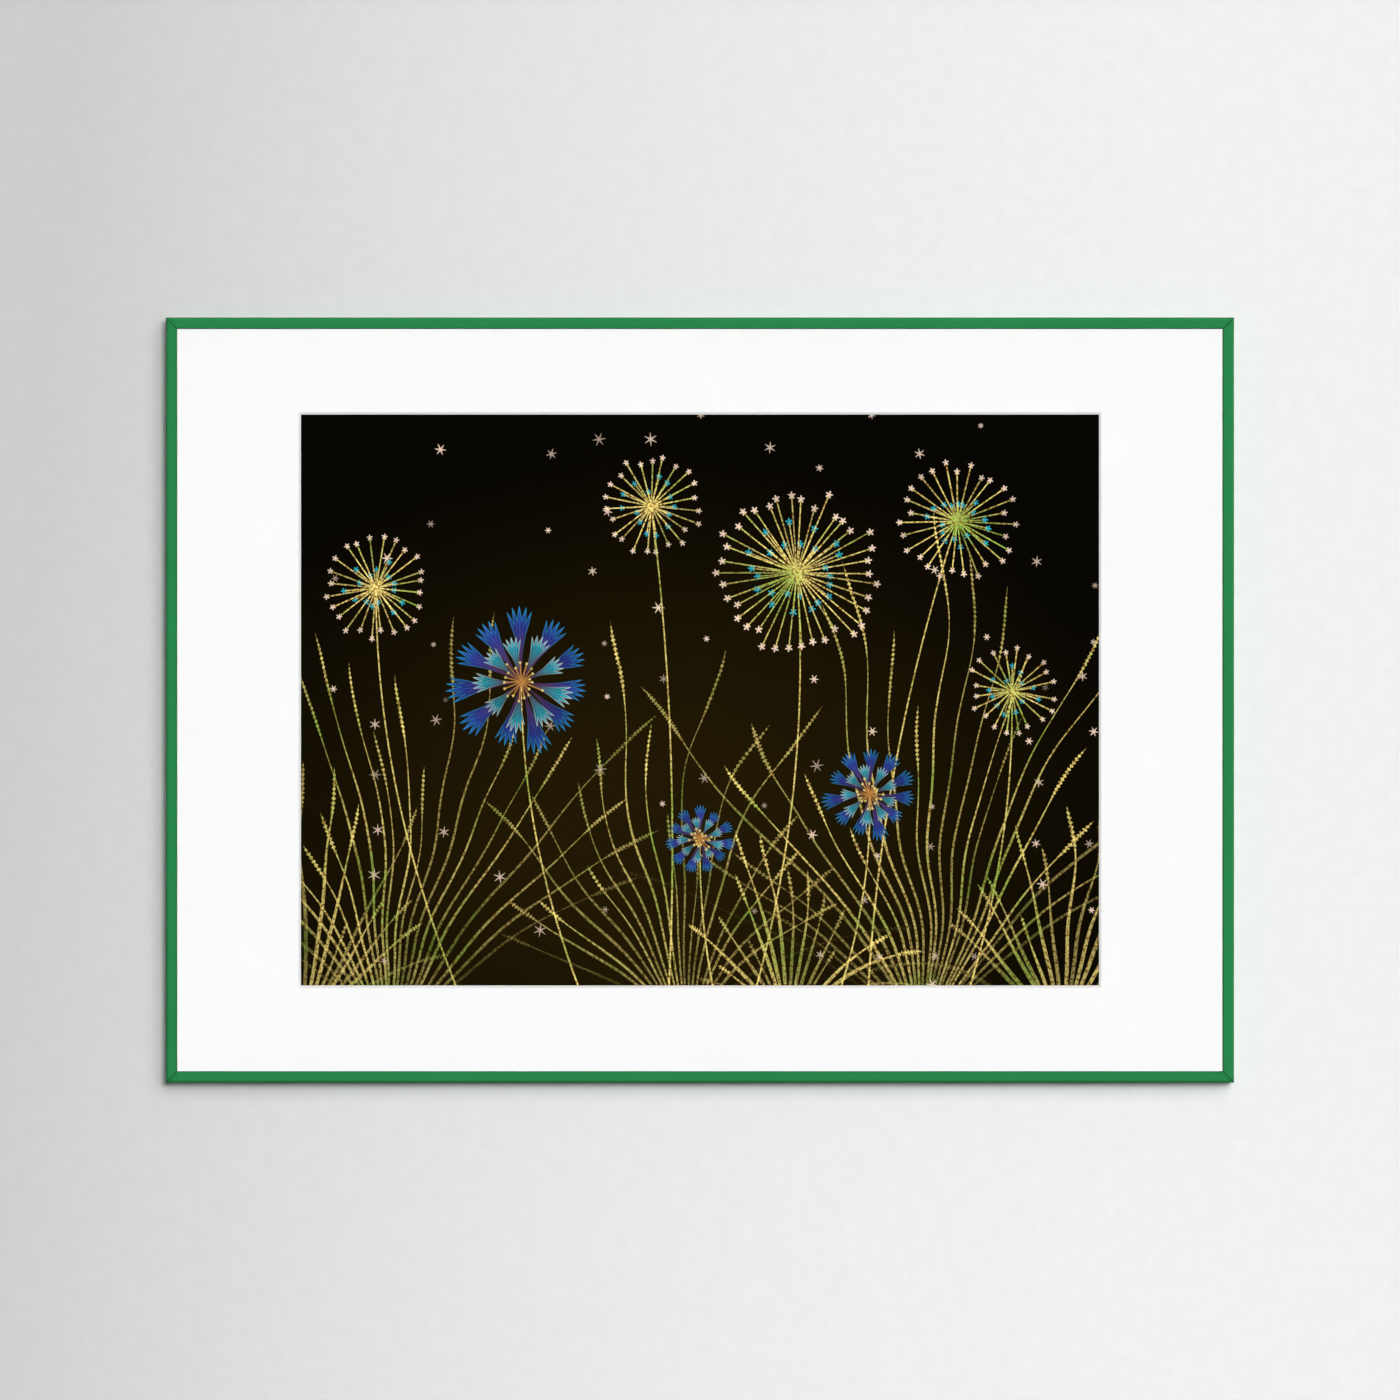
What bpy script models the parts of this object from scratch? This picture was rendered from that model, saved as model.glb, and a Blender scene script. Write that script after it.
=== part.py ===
"""A framed picture, hung in landscape.

Four mitred rails of coated metal hold a stack of glazing, window mat, print and backing board. Bowed springs
press the stack forward, a tapped angle joins the rails in each corner, and a toothed hanger carries the whole.

Pieces are placed from the middle of the frame's front face: X to the right, Y from front to back, Z up.
Along a rail, X runs with its length, Y goes back and Z points out of its outer side, so that a distance in
from the outer side is a negative Z. The world's origin is the hanger's middle notch, on the rear plane.
"""

import math

import bmesh
import bpy

# The frame, in metres. It takes boards of the standard 700 by 500 mm format.
FRAME_W = 0.705
FRAME_H = 0.505
RAIL_DEPTH = 0.020
BOARD_W = 0.700
BOARD_H = 0.500
GAP = 0.0003

# The rail's section.
FACE_W = 0.0075
FACE_T = 0.0015
SIDE_T = 0.0013
OUTER_EDGE_R = 0.0020
INNER_EDGE_R = 0.0008
CHANNEL_W = 0.0110
SLOT_W = 0.0045
BACK_LIP_T = 0.0012

# The stack, from front to back.
GLASS_T = 0.0020
GLASS_ARRIS = 0.0003
MAT_T = 0.0015
WINDOW_W = 0.527
WINDOW_H = 0.377
PRINT_W = 0.540
PRINT_H = 0.390
PRINT_T = 0.0004
BACKING_T = 0.0030
BACKING_ARRIS = 0.0004

# The bowed springs between the backing board and the rails' shelf.
SPRING_LENGTH = 0.048
SPRING_WIDTH = 0.011
SPRING_T = 0.0004
SPRING_HEIGHT = 0.0023
SPRING_IN = 0.003
SPRINGS_LONG = (-0.210, 0.0, 0.210)
SPRINGS_SHORT = (-0.115, 0.115)

# The corner joints, in the channel at the back of the rails.
ANGLE_LEG = 0.034
ANGLE_W = 0.0078
ANGLE_T = 0.0020
SHIM_T = 0.0008
SET_SCREW_R = 0.0020
SET_SCREW_LENGTH = 0.0042
SET_SCREW_CHAMFER = 0.0004
SET_SCREW_ALONG = 0.0245
TAPPED_CLEARANCE = 0.0003

# The hanger, bent from one strip, with its screws and the nut plate that they pull against.
HANGER_W = 0.046
HANGER_T = 0.0010
HANGER_TOP = 0.0010
HANGER_BEND = 0.0098
HANGER_STEP = 0.0022
HANGER_BOTTOM = 0.0178
TOOTH_PITCH = 0.004
TOOTH_HEIGHT = 0.0026
NOTCHES_EACH_SIDE = 4
HANGER_SCREWS = 0.034
HANGER_SCREW_R = 0.0015
SCREW_HEAD_R = 0.0028
SCREW_HEAD_T = 0.0016
SCREW_HEAD_DOME = 0.0006
SCREW_TIP_Y = 0.0155
NUT_PLATE_W = 0.044

# The rubber bumpers.
BUMPER_R = 0.0045
BUMPER_DOME = 0.0010
BUMPER_FROM_END = 0.062

# A slotted screw's slot.
DRIVER_SLOT_W = 0.0008
DRIVER_SLOT_DEPTH = 0.0008

# How finely round shapes are cut.
EDGE_STEPS = 5
BOW_STEPS = 14
SCREW_SIDES = 16
HEAD_SIDES = 24
DOME_STEPS = 4
WELD = 1e-6

# Shading runs smoothly over edges below this angle, in degrees.
SMOOTH_BELOW = 30

# Where each piece of the stack begins, back from the front.
GLASS_Y = FACE_T + GAP
MAT_Y = GLASS_Y + GLASS_T + GAP
PRINT_Y = MAT_Y + MAT_T + GAP
BACKING_Y = PRINT_Y + PRINT_T + GAP
SPRING_Y = BACKING_Y + BACKING_T + GAP
SHELF_Y = SPRING_Y + SPRING_HEIGHT + GAP
SHIM_Y = SHELF_Y + SIDE_T + GAP
ANGLE_Y = RAIL_DEPTH - BACK_LIP_T - GAP - ANGLE_T
SET_SCREW_Y = SHIM_Y + SHIM_T + GAP
HANGER_Y = RAIL_DEPTH + GAP
REAR_Y = HANGER_Y + HANGER_STEP + HANGER_T

# Across the channel: its middle is the middle of its slot, and the angles lie along it.
CHANNEL_MIDDLE = CHANNEL_W / 2
ANGLE_IN = CHANNEL_MIDDLE - ANGLE_W / 2
NOTCH_IN = HANGER_BOTTOM - TOOTH_HEIGHT

# Each corner and each rail, with its side of the middle and its quarter turns about Y.
CORNERS = {
    "bottom_left": (-1, -1, 0),
    "top_left": (-1, 1, 1),
    "top_right": (1, 1, 2),
    "bottom_right": (1, -1, 3),
}
RAILS = {
    "top": (0, 1, 0),
    "right": (1, 0, 1),
    "bottom": (0, -1, 2),
    "left": (-1, 0, 3),
}


def clear_scene():
    """Empties the scene of its objects."""
    for obj in list(bpy.data.objects):
        bpy.data.objects.remove(obj, do_unlink=True)


def linear(value):
    """One colour channel from 0 to 255, as shown on a screen, in linear light."""
    share = value / 255
    return share / 12.92 if share <= 0.04045 else ((share + 0.055) / 1.055) ** 2.4


def finish(name, colour, roughness, metallic=0.0, transmission=0.0):
    """A Principled material of one colour."""
    material = bpy.data.materials.new(name)
    material.use_nodes = True
    shader = material.node_tree.nodes["Principled BSDF"]
    shader.inputs["Base Color"].default_value = (*(linear(channel) for channel in colour), 1)
    shader.inputs["Roughness"].default_value = roughness
    shader.inputs["Metallic"].default_value = metallic
    shader.inputs["Transmission Weight"].default_value = transmission
    return material


def mesh_of(bm, name, smooth=False):
    """A mesh from the bmesh, with its faces pointing out and its round parts shaded smooth if asked."""
    bmesh.ops.recalc_face_normals(bm, faces=bm.faces)
    mesh = bpy.data.meshes.new(name)
    bm.to_mesh(mesh)
    bm.free()
    if smooth:
        mesh.shade_smooth()
        mesh.set_sharp_from_angle(angle=math.radians(SMOOTH_BELOW))
    return mesh


def place(name, mesh, material, parent, location=(0, 0, 0), quarter_turns=0):
    """An object of its own for the mesh, turned about Y and placed under its parent."""
    if material.name not in mesh.materials:
        mesh.materials.append(material)
    obj = bpy.data.objects.new(name, mesh)
    bpy.context.scene.collection.objects.link(obj)
    obj.parent = parent
    obj.location = location
    obj.rotation_euler = (0, quarter_turns * math.pi / 2, 0)
    return obj


def arc(centre, radius, start, end, steps):
    """Points on an arc in a plane, with its angles in degrees."""
    points = []
    for step in range(steps + 1):
        angle = math.radians(start + (end - start) * step / steps)
        points.append((centre[0] + radius * math.cos(angle), centre[1] + radius * math.sin(angle)))
    return points


def extrude(bm, faces, vector):
    """Pulls the faces along the vector into a closed solid."""
    made = bmesh.ops.extrude_face_region(bm, geom=faces)["geom"]
    far = [item for item in made if isinstance(item, bmesh.types.BMVert)]
    bmesh.ops.translate(bm, vec=vector, verts=far)


def loop_edges(bm, points):
    """A closed loop of edges through the points."""
    verts = [bm.verts.new(point) for point in points]
    return [bm.edges.new((vert, verts[index - 1])) for index, vert in enumerate(verts)]


def plate(outline, holes, front, thickness):
    """A flat plate in XZ with its front at the given Y. The holes are (x, z, radius)."""
    bm = bmesh.new()
    edges = loop_edges(bm, [(x, front, z) for x, z in outline])
    for x, z, radius in holes:
        rim = arc((x, z), radius, 0, 360, SCREW_SIDES)[:-1]
        edges += loop_edges(bm, [(u, front, v) for u, v in rim])
    filled = bmesh.ops.triangle_fill(bm, use_beauty=True, use_dissolve=False, edges=edges)["geom"]
    faces = [item for item in filled if isinstance(item, bmesh.types.BMFace)]
    extrude(bm, faces, (0, thickness, 0))
    return bm


def board(name, width, height, front, thickness, arris=0.0):
    """A flat board centred on the picture, with its edges just broken."""
    bm = bmesh.new()
    bmesh.ops.create_cube(bm, size=1)
    bmesh.ops.scale(bm, vec=(width, thickness, height), verts=bm.verts)
    bmesh.ops.translate(bm, vec=(0, front + thickness / 2, 0), verts=bm.verts)
    if arris:
        bmesh.ops.bevel(
            bm, geom=bm.edges[:], offset=arris, segments=1, profile=0.5, affect="EDGES", clamp_overlap=True
        )
    return mesh_of(bm, name)


def turned(profile, sides):
    """A closed solid turned about Y. The profile's points are (radius, y), from one end of the axis on."""
    bm = bmesh.new()
    verts = [bm.verts.new((radius, y, 0)) for radius, y in profile]
    edges = [bm.edges.new(pair) for pair in zip(verts, verts[1:])]
    bmesh.ops.spin(
        bm,
        geom=verts + edges,
        cent=(0, 0, 0),
        axis=(0, 1, 0),
        angle=math.tau,
        steps=sides,
        use_merge=True,
    )
    bmesh.ops.remove_doubles(bm, verts=bm.verts, dist=WELD)
    return bm


def slotted(mesh, end_y, half_length):
    """The mesh with a driver's slot cut across its rear end."""
    blank = bpy.data.objects.new("blank", mesh)
    cutter_bm = bmesh.new()
    bmesh.ops.create_cube(cutter_bm, size=1)
    bmesh.ops.scale(cutter_bm, vec=(4 * half_length, 2 * DRIVER_SLOT_DEPTH, DRIVER_SLOT_W), verts=cutter_bm.verts)
    bmesh.ops.translate(cutter_bm, vec=(0, end_y, 0), verts=cutter_bm.verts)
    cutter = bpy.data.objects.new("cutter", mesh_of(cutter_bm, "cutter"))
    for helper in (blank, cutter):
        bpy.context.scene.collection.objects.link(helper)
    cut = blank.modifiers.new("slot", "BOOLEAN")
    cut.object = cutter
    graph = bpy.context.evaluated_depsgraph_get()
    result = bpy.data.meshes.new_from_object(blank.evaluated_get(graph))
    result.name = mesh.name + "_slotted"
    for helper in (blank, cutter):
        bpy.data.objects.remove(helper, do_unlink=True)
    return result


def rail_section():
    """The rail's outline as (in from the outer side, back from the front).

    A narrow face in front, a side that runs the whole depth, a shelf behind the stack, and behind the shelf a
    channel whose two back lips leave a slot.
    """
    outer = arc((OUTER_EDGE_R, OUTER_EDGE_R), OUTER_EDGE_R, 180, 270, EDGE_STEPS)
    inner = arc((FACE_W - INNER_EDGE_R, INNER_EDGE_R), INNER_EDGE_R, 270, 360, EDGE_STEPS)
    slot_near = CHANNEL_MIDDLE - SLOT_W / 2
    slot_far = CHANNEL_MIDDLE + SLOT_W / 2
    channel_inside = CHANNEL_W - SIDE_T
    channel_floor = SHELF_Y + SIDE_T
    lip_front = RAIL_DEPTH - BACK_LIP_T
    return outer + inner + [
        (FACE_W, FACE_T),
        (SIDE_T, FACE_T),
        (SIDE_T, SHELF_Y),
        (CHANNEL_W, SHELF_Y),
        (CHANNEL_W, RAIL_DEPTH),
        (slot_far, RAIL_DEPTH),
        (slot_far, lip_front),
        (channel_inside, lip_front),
        (channel_inside, channel_floor),
        (SIDE_T, channel_floor),
        (SIDE_T, lip_front),
        (slot_near, lip_front),
        (slot_near, RAIL_DEPTH),
        (0, RAIL_DEPTH),
    ]


def rail_mesh(name, length):
    """A rail of the given outer length, its section run straight through and mitred at both ends."""
    bm = bmesh.new()
    near = bm.faces.new([bm.verts.new((-length / 2, back, -inward)) for inward, back in rail_section()])
    extrude(bm, [near], (length, 0, 0))
    # A mitre brings each end point in by its own distance from the outer side, and by half the open joint.
    half_joint = GAP / 2 * math.sqrt(2)
    for vert in bm.verts:
        vert.co.x -= math.copysign(half_joint - vert.co.z, vert.co.x)
    return mesh_of(bm, name, smooth=True)


def mat_mesh():
    """The mat: a board with a window cut at 45 degrees, which opens towards the viewer."""
    bm = bmesh.new()
    loops = []
    for width, height, y in (
        (BOARD_W, BOARD_H, MAT_Y),
        (WINDOW_W + 2 * MAT_T, WINDOW_H + 2 * MAT_T, MAT_Y),
        (WINDOW_W, WINDOW_H, MAT_Y + MAT_T),
        (BOARD_W, BOARD_H, MAT_Y + MAT_T),
    ):
        corners = [(-1, -1), (1, -1), (1, 1), (-1, 1)]
        loops.append([bm.verts.new((width / 2 * x, y, height / 2 * z)) for x, z in corners])
    # Each loop joins the one before it, and the first joins the last, so that the board closes on itself.
    for index, loop in enumerate(loops):
        before = loops[index - 1]
        for corner in range(4):
            bm.faces.new((before[corner - 1], before[corner], loop[corner], loop[corner - 1]))
    return mesh_of(bm, "mat_board")


def spring_mesh():
    """A bowed strip along X: its ends lie on the backing board and its middle presses on the shelf."""
    front, rear = [], []
    for step in range(BOW_STEPS + 1):
        along = 2 * step / BOW_STEPS - 1
        rise = (SPRING_HEIGHT - SPRING_T) * (1 - along**2)
        front.append((along * SPRING_LENGTH / 2, SPRING_Y + rise))
        rear.append((along * SPRING_LENGTH / 2, SPRING_Y + rise + SPRING_T))
    bm = bmesh.new()
    face = bm.faces.new([bm.verts.new((x, y, -SPRING_IN)) for x, y in front + rear[::-1]])
    extrude(bm, [face], (0, 0, -SPRING_WIDTH))
    return mesh_of(bm, "spring", smooth=True)


def angle_outline():
    """The outline of an L with its outer corner near the origin and its legs along +X and +Z."""
    start, inside, end = ANGLE_IN, ANGLE_IN + ANGLE_W, ANGLE_IN + ANGLE_LEG
    return [(start, start), (end, start), (end, inside), (inside, inside), (inside, end), (start, end)]


def angle_mesh():
    """A corner angle with a tapped hole in each leg."""
    hole_r = SET_SCREW_R + TAPPED_CLEARANCE
    holes = [(SET_SCREW_ALONG, CHANNEL_MIDDLE, hole_r), (CHANNEL_MIDDLE, SET_SCREW_ALONG, hole_r)]
    return mesh_of(plate(angle_outline(), holes, ANGLE_Y, ANGLE_T), "corner_angle", smooth=True)


def shim_mesh():
    """The thin plate under a corner angle, which spreads the load of its screws."""
    return mesh_of(plate(angle_outline(), [], SHIM_Y, SHIM_T), "corner_shim")


def set_screw_mesh():
    """A headless screw with chamfered ends and a slot in its rear end."""
    tip, end = SET_SCREW_Y, SET_SCREW_Y + SET_SCREW_LENGTH
    neck = SET_SCREW_R - SET_SCREW_CHAMFER
    profile = [
        (0, tip),
        (neck, tip),
        (SET_SCREW_R, tip + SET_SCREW_CHAMFER),
        (SET_SCREW_R, end - SET_SCREW_CHAMFER),
        (neck, end),
        (0, end),
    ]
    blank = mesh_of(turned(profile, SCREW_SIDES), "set_screw", smooth=True)
    return slotted(blank, end, SET_SCREW_R)


def hanger_mesh():
    """The hanger: a flat band with two holes, stepped back to a bar whose lower edge is cut in teeth."""
    half = HANGER_W / 2
    outline = [(-half, -HANGER_TOP), (half, -HANGER_TOP), (half, -HANGER_BOTTOM)]
    last_tooth = NOTCHES_EACH_SIDE * TOOTH_PITCH + TOOTH_PITCH / 2
    outline.append((last_tooth, -HANGER_BOTTOM))
    for notch in range(NOTCHES_EACH_SIDE, -NOTCHES_EACH_SIDE - 1, -1):
        outline.append((notch * TOOTH_PITCH, -NOTCH_IN))
        outline.append(((notch - 0.5) * TOOTH_PITCH, -HANGER_BOTTOM))
    outline.append((-half, -HANGER_BOTTOM))
    hole_r = HANGER_SCREW_R + TAPPED_CLEARANCE
    holes = [(side * HANGER_SCREWS / 2, -CHANNEL_MIDDLE, hole_r) for side in (-1, 1)]
    bm = plate(outline, holes, HANGER_Y, HANGER_T)
    # The step runs at 45 degrees between two bend lines.
    bend_ends = (HANGER_BEND, HANGER_BEND + HANGER_STEP)
    for inward in bend_ends:
        everything = bm.verts[:] + bm.edges[:] + bm.faces[:]
        bmesh.ops.bisect_plane(bm, geom=everything, plane_co=(0, 0, -inward), plane_no=(0, 0, 1))
    below = [vert for vert in bm.verts if vert.co.z < -(HANGER_BEND + HANGER_STEP / 2)]
    bmesh.ops.translate(bm, vec=(0, HANGER_STEP, 0), verts=below)
    return mesh_of(bm, "hanger", smooth=True)


def nut_plate_mesh():
    """The tapped plate in the channel that the hanger's screws pull against."""
    half, near = NUT_PLATE_W / 2, -ANGLE_IN
    outline = [(-half, near), (half, near), (half, near - ANGLE_W), (-half, near - ANGLE_W)]
    hole_r = HANGER_SCREW_R + TAPPED_CLEARANCE
    holes = [(side * HANGER_SCREWS / 2, -CHANNEL_MIDDLE, hole_r) for side in (-1, 1)]
    return mesh_of(plate(outline, holes, ANGLE_Y, ANGLE_T), "hanger_nut_plate", smooth=True)


def hanger_screw_mesh():
    """A screw with a low domed head and a slot."""
    head = HANGER_Y + HANGER_T + GAP
    end = head + SCREW_HEAD_T
    rim = end - SCREW_HEAD_DOME
    # The head's dome is a quarter of an ellipse.
    dome = []
    for step in range(DOME_STEPS):
        angle = math.pi / 2 * step / DOME_STEPS
        dome.append((SCREW_HEAD_R * math.cos(angle), rim + SCREW_HEAD_DOME * math.sin(angle)))
    profile = [(0, SCREW_TIP_Y), (HANGER_SCREW_R, SCREW_TIP_Y), (HANGER_SCREW_R, head), (SCREW_HEAD_R, head)]
    blank = mesh_of(turned(profile + dome + [(0, end)], HEAD_SIDES), "hanger_screw", smooth=True)
    return slotted(blank, end, SCREW_HEAD_R)


def bumper_mesh():
    """A rubber disc with a rounded rim."""
    rim = arc((BUMPER_R - BUMPER_DOME, REAR_Y - BUMPER_DOME), BUMPER_DOME, 0, 90, DOME_STEPS)
    profile = [(0, HANGER_Y), (BUMPER_R, HANGER_Y)] + rim + [(0, REAR_Y)]
    return mesh_of(turned(profile, HEAD_SIDES), "bumper", smooth=True)


def add_rails(picture, coat):
    """The four rails, by name."""
    meshes = {"long": rail_mesh("rail_long", FRAME_W), "short": rail_mesh("rail_short", FRAME_H)}
    rails = {}
    for side, (x, z, turns) in RAILS.items():
        mesh = meshes["short" if x else "long"]
        rails[side] = place(
            f"rail_{side}", mesh, coat, picture, (x * FRAME_W / 2, 0, z * FRAME_H / 2), turns
        )
    return rails


def add_stack(picture):
    """The glazing, mat, print and backing board."""
    glass = finish("clear_glass", (236, 243, 240), 0.03, transmission=1.0)
    paper = finish("mat_white", (251, 251, 251), 0.85)
    ink = finish("print_ground", (24, 18, 6), 0.45)
    fibre = finish("backing_brown", (134, 100, 66), 0.75)
    place("glazing", board("glazing", BOARD_W, BOARD_H, GLASS_Y, GLASS_T, GLASS_ARRIS), glass, picture)
    place("mat_board", mat_mesh(), paper, picture)
    place("print_sheet", board("print_sheet", PRINT_W, PRINT_H, PRINT_Y, PRINT_T), ink, picture)
    backing = board("backing_board", BOARD_W, BOARD_H, BACKING_Y, BACKING_T, BACKING_ARRIS)
    place("backing_board", backing, fibre, picture)


def add_springs(rails, steel):
    """The bowed springs, each under the rail whose shelf it presses on."""
    mesh = spring_mesh()
    for side, rail in rails.items():
        places = SPRINGS_LONG if side in ("top", "bottom") else SPRINGS_SHORT
        for number, along in enumerate(places, 1):
            place(f"spring_{side}_{number}", mesh, steel, rail, (along, 0, 0))


def add_corners(picture, zinc, dark_steel):
    """In each corner an angle, a shim and two set screws."""
    angle, shim, screw = angle_mesh(), shim_mesh(), set_screw_mesh()
    for corner, (x, z, turns) in CORNERS.items():
        at = (x * FRAME_W / 2, 0, z * FRAME_H / 2)
        joint = place(f"corner_angle_{corner}", angle, zinc, picture, at, turns)
        place(f"corner_shim_{corner}", shim, zinc, picture, at, turns)
        seats = ((SET_SCREW_ALONG, CHANNEL_MIDDLE), (CHANNEL_MIDDLE, SET_SCREW_ALONG))
        for number, (seat_x, seat_z) in enumerate(seats, 1):
            place(f"set_screw_{corner}_{number}", screw, dark_steel, joint, (seat_x, 0, seat_z))


def add_hanger(rail, zinc):
    """The toothed hanger at the middle of the top rail, with what fixes it."""
    place("hanger", hanger_mesh(), zinc, rail)
    place("hanger_nut_plate", nut_plate_mesh(), zinc, rail)
    screw = hanger_screw_mesh()
    # Seen from behind, where the hanger is in view, the viewer's left is at +X.
    for side, sign in (("left", 1), ("right", -1)):
        place(f"hanger_screw_{side}", screw, zinc, rail, (sign * HANGER_SCREWS / 2, 0, -CHANNEL_MIDDLE))


def add_bumpers(rail, rubber):
    """The two bumpers near the ends of the bottom rail, which is turned half round."""
    mesh = bumper_mesh()
    along = FRAME_W / 2 - BUMPER_FROM_END
    for side, sign in (("left", -1), ("right", 1)):
        place(f"rear_bumper_{side}", mesh, rubber, rail, (sign * along, 0, -CHANNEL_MIDDLE))


def build():
    """Makes the whole picture."""
    clear_scene()
    picture = bpy.data.objects.new("picture", None)
    picture.location = (0, -REAR_Y, NOTCH_IN - FRAME_H / 2)
    bpy.context.scene.collection.objects.link(picture)

    coat = finish("green_coat", (44, 134, 76), 0.42)
    steel = finish("spring_steel", (120, 124, 130), 0.35, metallic=1.0)
    zinc = finish("zinc_plate", (178, 180, 182), 0.38, metallic=1.0)
    dark_steel = finish("dark_steel", (88, 90, 94), 0.40, metallic=1.0)
    rubber = finish("black_rubber", (34, 34, 36), 0.80)

    rails = add_rails(picture, coat)
    add_stack(picture)
    add_springs(rails, steel)
    add_corners(picture, zinc, dark_steel)
    add_hanger(rails["top"], zinc)
    add_bumpers(rails["bottom"], rubber)


build()
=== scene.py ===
"""The looks of a framed picture: slim green rails, a wide white mat and a dark botanical print.

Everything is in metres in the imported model's own frame: X to the viewer's right, Y from front to back and Z
up, with the origin in the hanger's middle notch on the rear plane. The print's drawing is the script's own.
"""

from __future__ import annotations

import sys
import logging
import math
from collections.abc import Callable, Sequence
from dataclasses import dataclass, replace
from enum import Enum
from functools import cached_property
from typing import Any, ClassVar

import bmesh
import bpy
from bmesh.types import BMEdge, BMesh, BMFace, BMVert
from bpy.types import Material, Node, NodeSocket, NodeTree, Object
from mathutils import Matrix, Vector


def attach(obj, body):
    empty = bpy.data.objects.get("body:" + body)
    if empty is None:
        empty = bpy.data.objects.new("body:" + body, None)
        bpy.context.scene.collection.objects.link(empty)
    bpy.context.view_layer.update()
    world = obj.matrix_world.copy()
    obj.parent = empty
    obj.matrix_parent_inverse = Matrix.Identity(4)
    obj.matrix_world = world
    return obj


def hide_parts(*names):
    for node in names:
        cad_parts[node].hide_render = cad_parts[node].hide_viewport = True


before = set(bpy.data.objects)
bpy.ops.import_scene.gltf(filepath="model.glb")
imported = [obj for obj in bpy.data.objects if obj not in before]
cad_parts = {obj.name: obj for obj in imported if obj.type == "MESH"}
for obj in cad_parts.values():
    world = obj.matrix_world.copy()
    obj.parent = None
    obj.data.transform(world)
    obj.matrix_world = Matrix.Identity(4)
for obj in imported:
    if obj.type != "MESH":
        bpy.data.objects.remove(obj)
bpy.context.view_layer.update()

LOG = logging.getLogger("framed_picture")

BODY = "root"
MM_PER_METRE = 1000.0
NEAR = 0.001
FAR = 1000.0
WELD = 0.000001
SQUARE = 0.99999
SMOOTH_BELOW = math.radians(35)
Colour = tuple[float, float, float, float]
Point = tuple[float, float, float]


def shade(red: float, green: float, blue: float) -> Colour:
    """A colour from 0 to 255 as a screen shows it, in linear light.

    Args:
        red: The red channel.
        green: The green channel.
        blue: The blue channel.

    Returns:
        The linear colour with an opaque alpha.
    """
    parts = [channel / 255 for channel in (red, green, blue)]
    linear = [part / 12.92 if part <= 0.04045 else ((part + 0.055) / 1.055) ** 2.4 for part in parts]
    return (*linear, 1.0)


BLACK = shade(0, 0, 0)
WHITE = shade(255, 255, 255)
ORIGIN: Point = (0.0, 0.0, 0.0)


# ---- where things lie


class Side(Enum):
    """A side of the picture: its direction from the middle in X and Z, and its quarter turns about Y."""

    TOP = (0, 1, 0)
    RIGHT = (1, 0, 1)
    BOTTOM = (0, -1, 2)
    LEFT = (-1, 0, 3)

    @property
    def long(self) -> bool:
        """True for the two sides that run along X."""
        return self.value[0] == 0


@dataclass(frozen=True)
class Layout:
    """The picture's outline, the sizes that several pieces share, and the places that they are made in.

    A side's own place has X along the side, Y back from the front face and Z out of the outer side.
    """

    width: float = 0.705
    height: float = 0.505
    front: float = -0.0235
    middle: float = -0.2373
    face_width: float = 0.0075
    fixing_front: float = 0.0203
    fixing_inward: float = 0.0055

    def length(self, side: Side) -> float:
        """The outer length of a side."""
        return self.width if side.long else self.height

    def on_side(self, side: Side) -> Matrix:
        """The matrix from a side's own place to the world.

        Args:
            side: The side.

        Returns:
            A turn about Y and a shift to the middle of the side's outer face.
        """
        x, z, turns = side.value
        shift = Vector((x * self.width / 2, self.front, self.middle + z * self.height / 2))
        return Matrix.Translation(shift) @ Matrix.Rotation(turns * math.pi / 2, 4, "Y")


LAYOUT = Layout()


# ---- shader arithmetic


def operator(operation: str) -> Callable[[Field, Field | float], Field]:
    """An operator on fields that a Math node works out."""
    return lambda first, second: first.graph.math(operation, first, second)


class Field:
    """A value that varies over a surface, so that a pattern is written as arithmetic."""

    __add__ = __radd__ = operator("ADD")
    __sub__ = operator("SUBTRACT")
    __mul__ = operator("MULTIPLY")
    __truediv__ = operator("DIVIDE")
    __pow__ = operator("POWER")

    def __init__(self, graph: Graph, socket: NodeSocket) -> None:
        """Keeps the socket and the graph that it belongs to."""
        self.graph = graph
        self.socket = socket

    def __rsub__(self, other: float) -> Field:
        """The difference from a plain number."""
        return self.graph.math("SUBTRACT", other, self)

    def __abs__(self) -> Field:
        """The size without its sign."""
        return self.graph.math("ABSOLUTE", self)

    def rise(self, low: Field | float, high: Field | float) -> Field:
        """A smooth step from 0 at the low value to 1 at the high one, whichever of them is larger."""
        return self.graph.get("MapRange", {0: self, 1: low, 2: high}, interpolation_type="SMOOTHSTEP")


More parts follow.
